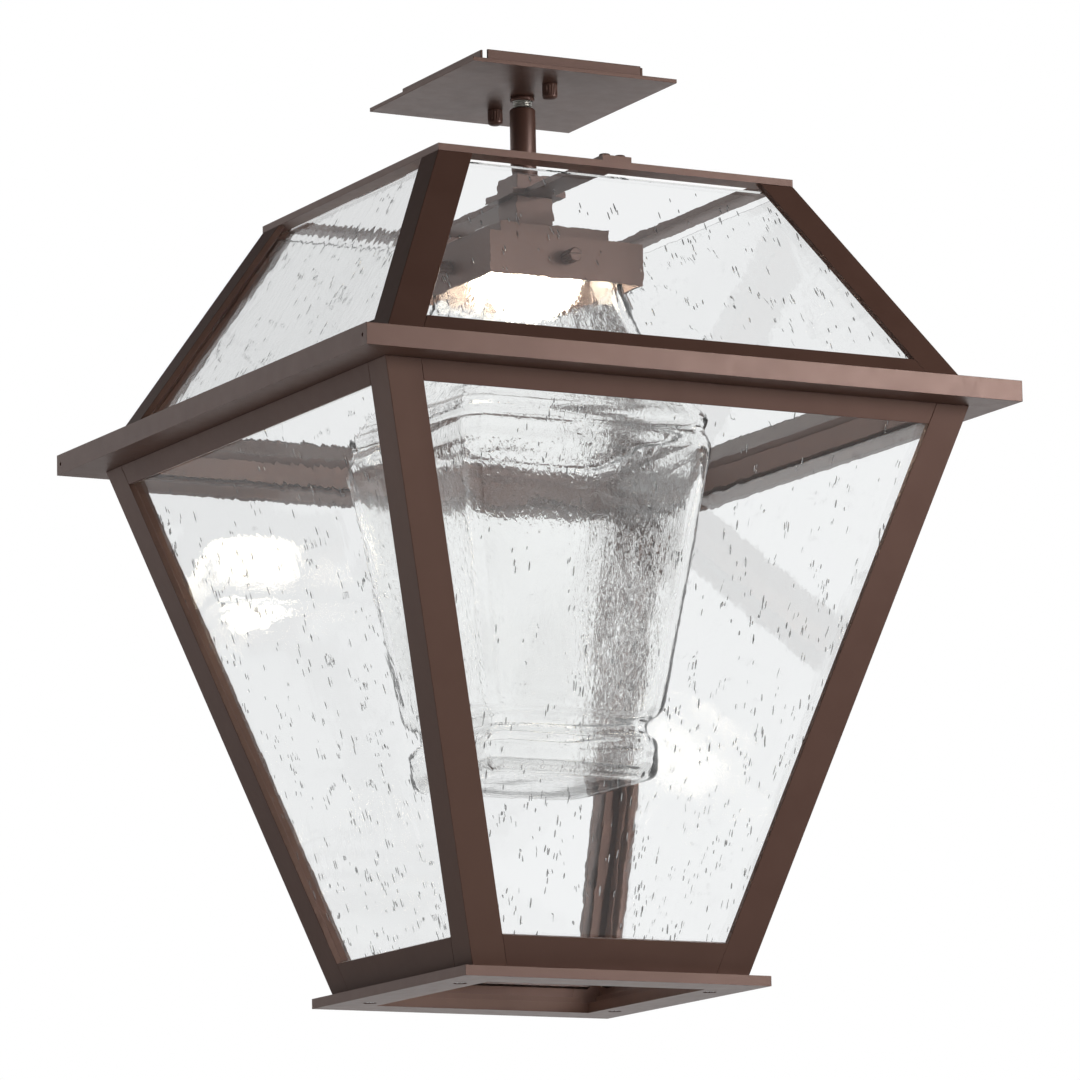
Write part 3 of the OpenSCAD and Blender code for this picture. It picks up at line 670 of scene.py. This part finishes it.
def square_section(half, corner, count):
    """Points round a square with rounded corners, evenly spaced along it."""
    straight = 2 * (half - corner)
    arc = math.pi / 2 * corner
    whole = 4 * (straight + arc)
    section = []
    for k in range(count):
        side, s = divmod(whole * (k + 0.5) / count, straight + arc)
        turn = side * math.pi / 2
        if s < straight:
            x, y = half, s - straight / 2
        else:
            angle = (s - straight) / corner
            x = half - corner + corner * math.cos(angle)
            y = half - corner + corner * math.sin(angle)
        c, d = math.cos(turn), math.sin(turn)
        section.append((c * x - d * y, d * x + c * y))
    return section


def waves(x, y, depth, across, down, shift):
    """Smooth noise from -1 to 1 that changes over across and down, in mm."""
    return noise.noise(Vector((x / across, y / across, depth / down + shift)))


def near(depth, place, reach):
    """1 at place, falling smoothly to nothing well past reach."""
    return math.exp(-((depth - place) / reach) ** 2)


def ripple(x, y, depth, seed):
    """How far cast glass stands off its ideal skin: slow waves, drawn streaks, and rings near its ridges."""
    slow = waves(x, y, depth, across=26, down=34, shift=seed)
    drawn = waves(x, y, depth, across=4.2, down=12, shift=3 * seed)
    rings = waves(x, y, depth, across=60, down=2.6, shift=7 * seed)
    ridged = near(depth, SHOULDER - 6, reach=20) + near(depth, WAIST + 6, reach=14)
    return SLOW_HEIGHT * slow + DRAWN_HEIGHT * drawn + RING_HEIGHT * ridged * rings


def make_inner_glass():
    """The shade as cast, with rounded bends, uneven walls, a wavy skin and a closed base."""
    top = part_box("inner_glass")[1][2] / MM
    count = round(8 * SHOULDER_R / GLASS_GRID)
    mesh = bmesh.new()
    rings = []
    seeds = {}
    for seed, outline in ((1, GLASS_OUTSIDE), (2, GLASS_INSIDE)):
        for depth, half, corner in smoothed(resampled(outline)):
            section = square_section(half, corner, count)
            ring = [mesh.verts.new(Vector((x, y, top - depth)) * MM) for x, y in section]
            seeds.update((vert, seed) for vert in ring)
            rings.append(ring)
    base = len(resampled(GLASS_OUTSIDE)) - 1
    for number, (a, b) in enumerate(zip(rings, rings[1:] + rings[:1])):
        if number == base:
            mesh.faces.new(a)
            mesh.faces.new(b[::-1])
            continue
        for k in range(count):
            n = (k + 1) % count
            mesh.faces.new((a[k], b[k], b[n], a[n]))
    bmesh.ops.recalc_face_normals(mesh, faces=mesh.faces)
    mesh.normal_update()
    moves = []
    for vert, seed in seeds.items():
        x, y, depth = vert.co.x / MM, vert.co.y / MM, top - vert.co.z / MM
        fade = min(1, depth / WAVES_FROM)
        moves.append(vert.normal * fade * (ripple(x, y, depth, seed) - SKIN_INSET) * MM)
    for vert, move in zip(seeds, moves):
        vert.co += move
    data = mesh_data(mesh, "inner_glass_cast")
    data.polygons.foreach_set("use_smooth", [True] * len(data.polygons))
    add_piece("inner_glass_cast", data, "inner_glass", "inner_glass")


# ---------- frosted dome ----------

DOME_DEPTH = 26 * MM
DOME_RIM = 1.5 * MM
DOME_SIDES = 64
DOME_RINGS = 16


def make_dome():
    """The diffuser: a rim on the board, then a half ellipse turned about the lantern's axis."""
    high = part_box("led_lens")[1]
    radius, top = high[0], high[2]
    outline = [(radius, 0.0)]
    for k in range(DOME_RINGS):
        angle = math.pi / 2 * k / DOME_RINGS
        outline.append((radius * math.cos(angle), DOME_RIM + (DOME_DEPTH - DOME_RIM) * math.sin(angle)))
    mesh = bmesh.new()
    rings = []
    for r, down in outline:
        circle = turns(DOME_SIDES)
        rings.append([mesh.verts.new((r * math.cos(t), r * math.sin(t), top - down)) for t in circle])
    mesh.faces.new(rings[0])
    tip = mesh.verts.new((0, 0, top - DOME_DEPTH))
    for k in range(DOME_SIDES):
        n = (k + 1) % DOME_SIDES
        mesh.faces.new((rings[-1][n], rings[-1][k], tip))
        for a, b in zip(rings, rings[1:]):
            mesh.faces.new((a[n], a[k], b[k], b[n]))
    bmesh.ops.recalc_face_normals(mesh, faces=mesh.faces)
    data = mesh_data(mesh, "led_dome")
    for face in data.polygons[1:]:
        face.use_smooth = True
    add_piece("led_dome", data, "led_lens", "led_lens")


# ---------- threads and screws ----------

THREAD_SIDES = 28
THREAD_STEPS = 6
# depth of a thread and length of its lead-in, as shares of the pitch
THREAD_DEPTH = 0.58
THREAD_LEAD = 0.6
STUD_Y = 29.5 * MM
STUD_R = 2 * MM
STUD_PITCH = 0.7 * MM
PIPE_R = 4.95 * MM
PIPE_BORE_R = 3.2 * MM
PIPE_PITCH = 1.2 * MM
# each threaded node: the places of its rods, their radius, pitch and bore
THREADS = {
    "bracket_studs": (((0, -STUD_Y), (0, STUD_Y)), STUD_R, STUD_PITCH, None),
    "canopy_nipple": (((0, 0),), PIPE_R, PIPE_PITCH, PIPE_BORE_R),
    "center_nipple": (((0, 0),), PIPE_R, PIPE_PITCH, PIPE_BORE_R),
}


def add_thread(mesh, x, y, radius, low, high, pitch, bore):
    """Adds a rod or pipe with a real thread, its crests on the CAD radius."""
    rows = max(2, round((high - low) / pitch * THREAD_STEPS))
    outside = []
    for j in range(rows + 1):
        z = low + (high - low) * j / rows
        lead_in = max(0, THREAD_LEAD * pitch - min(z - low, high - z))
        ring = []
        for k, angle in enumerate(turns(THREAD_SIDES)):
            phase = (z / pitch - k / THREAD_SIDES) % 1
            r = radius - THREAD_DEPTH * pitch * abs(2 * phase - 1) - lead_in
            ring.append(mesh.verts.new((x + r * math.cos(angle), y + r * math.sin(angle), z)))
        outside.append(ring)
    loops = list(outside)
    if bore:
        circle = [(x + bore * math.cos(t), y + bore * math.sin(t)) for t in turns(THREAD_SIDES)]
        for z in (high, low):
            loops.append([mesh.verts.new((bore_x, bore_y, z)) for bore_x, bore_y in circle])
        loops.append(outside[0])
    else:
        mesh.faces.new(outside[0][::-1])
        mesh.faces.new(outside[-1])
    for a, b in zip(loops, loops[1:]):
        for k in range(THREAD_SIDES):
            n = (k + 1) % THREAD_SIDES
            mesh.faces.new((a[k], a[n], b[n], b[k]))


def make_threads():
    """Rods and pipes whose threads show, in place of their plain cylinders."""
    for node, (places, radius, pitch, bore) in THREADS.items():
        low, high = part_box(node)
        mesh = bmesh.new()
        for x, y in places:
            add_thread(mesh, x, y, radius, low[2], high[2], pitch, bore)
        add_piece(node + "_threaded", mesh_data(mesh, node + "_threaded"), node, node)


SCREW_SIDES = 32
# a screw head's outline from its face to its seat, as shares of its radius and height
HEAD_OUTLINE = ((0.72, 0), (0.88, 0.09), (0.97, 0.25), (1, 0.5), (1, 1))
# half width and length of the recess's arms and its depth, as shares of the head, and its floor's size
RECESS_ARM = 0.2
RECESS_LENGTH = 0.56
RECESS_DEPTH = 0.75
RECESS_FLOOR = 0.7
QUARTERS = ((1, 0), (0, 1), (-1, 0), (0, -1))
# each screwed node: radius and height of its heads, radius of its shanks, and the way its heads look
SCREWS = {
    "ring_screws": (3.2 * MM, 1.4 * MM, 1.5 * MM, -1),
    "bridge_screws": (2.8 * MM, 1.6 * MM, 1.5 * MM, 1),
}


def add_crossed_screw(mesh, x, y, top, way, head_r, head_h, shank_r, end):
    """Adds a pan head screw with a cross recess. Its head's face is at top and looks along way (1 or -1)."""

    def at(px, py, down):
        return mesh.verts.new((x + px, y + way * py, top - way * down))

    def ring(r, down):
        return [at(r * math.cos(t), r * math.sin(t), down) for t in turns(SCREW_SIDES)]

    rows = [ring(wide * head_r, down * head_h) for wide, down in HEAD_OUTLINE]
    rows += [ring(shank_r, head_h), ring(shank_r, abs(top - end))]
    for a, b in zip(rows, rows[1:]):
        for k in range(SCREW_SIDES):
            n = (k + 1) % SCREW_SIDES
            mesh.faces.new((a[k], b[k], b[n], a[n]))
    mesh.faces.new(rows[-1][::-1])
    arm, length = RECESS_ARM * head_r, RECESS_LENGTH * head_r
    rim, floor = [], []
    for c, d in QUARTERS:
        for px, py in ((length, -arm), (length, arm), (arm, arm)):
            rx, ry = c * px - d * py, d * px + c * py
            rim.append(at(rx, ry, 0.0))
            floor.append(at(RECESS_FLOOR * rx, RECESS_FLOOR * ry, RECESS_DEPTH * head_h))
    for k in range(len(rim)):
        n = (k + 1) % len(rim)
        mesh.faces.new((rim[k], rim[n], floor[n], floor[k]))
    mesh.faces.new(floor)
    # the head's flat face, from the recess out to the first ring
    face_edge = rows[0]
    quarter = SCREW_SIDES // 4
    for q in range(4):
        tip_a, tip_b, inner = rim[3 * q:3 * q + 3]
        base = quarter * q
        beside = (face_edge[(base + k) % SCREW_SIDES] for k in (-1, 0, 1))
        mesh.faces.new((tip_a, *beside, tip_b))
        arc = (face_edge[(base + k) % SCREW_SIDES] for k in range(1, quarter))
        mesh.faces.new((tip_b, *arc, rim[(3 * q + 3) % len(rim)], inner))


def make_screws():
    """Screws with a cross recess, in place of their plain cylinders, at the corners of each node's box."""
    for node, (head_r, head_h, shank_r, way) in SCREWS.items():
        low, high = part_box(node)
        top, end = (low[2], high[2]) if way < 0 else (high[2], low[2])
        mesh = bmesh.new()
        for x in (low[0] + head_r, high[0] - head_r):
            for y in (low[1] + head_r, high[1] - head_r):
                add_crossed_screw(mesh, x, y, top, way, head_r, head_h, shank_r, end)
        bmesh.ops.recalc_face_normals(mesh, faces=mesh.faces)
        add_piece(node + "_crossed", mesh_data(mesh, node + "_crossed"), node, node)


finish_cad_nodes()
make_panes()
make_inner_glass()
make_dome()
make_threads()
make_screws()
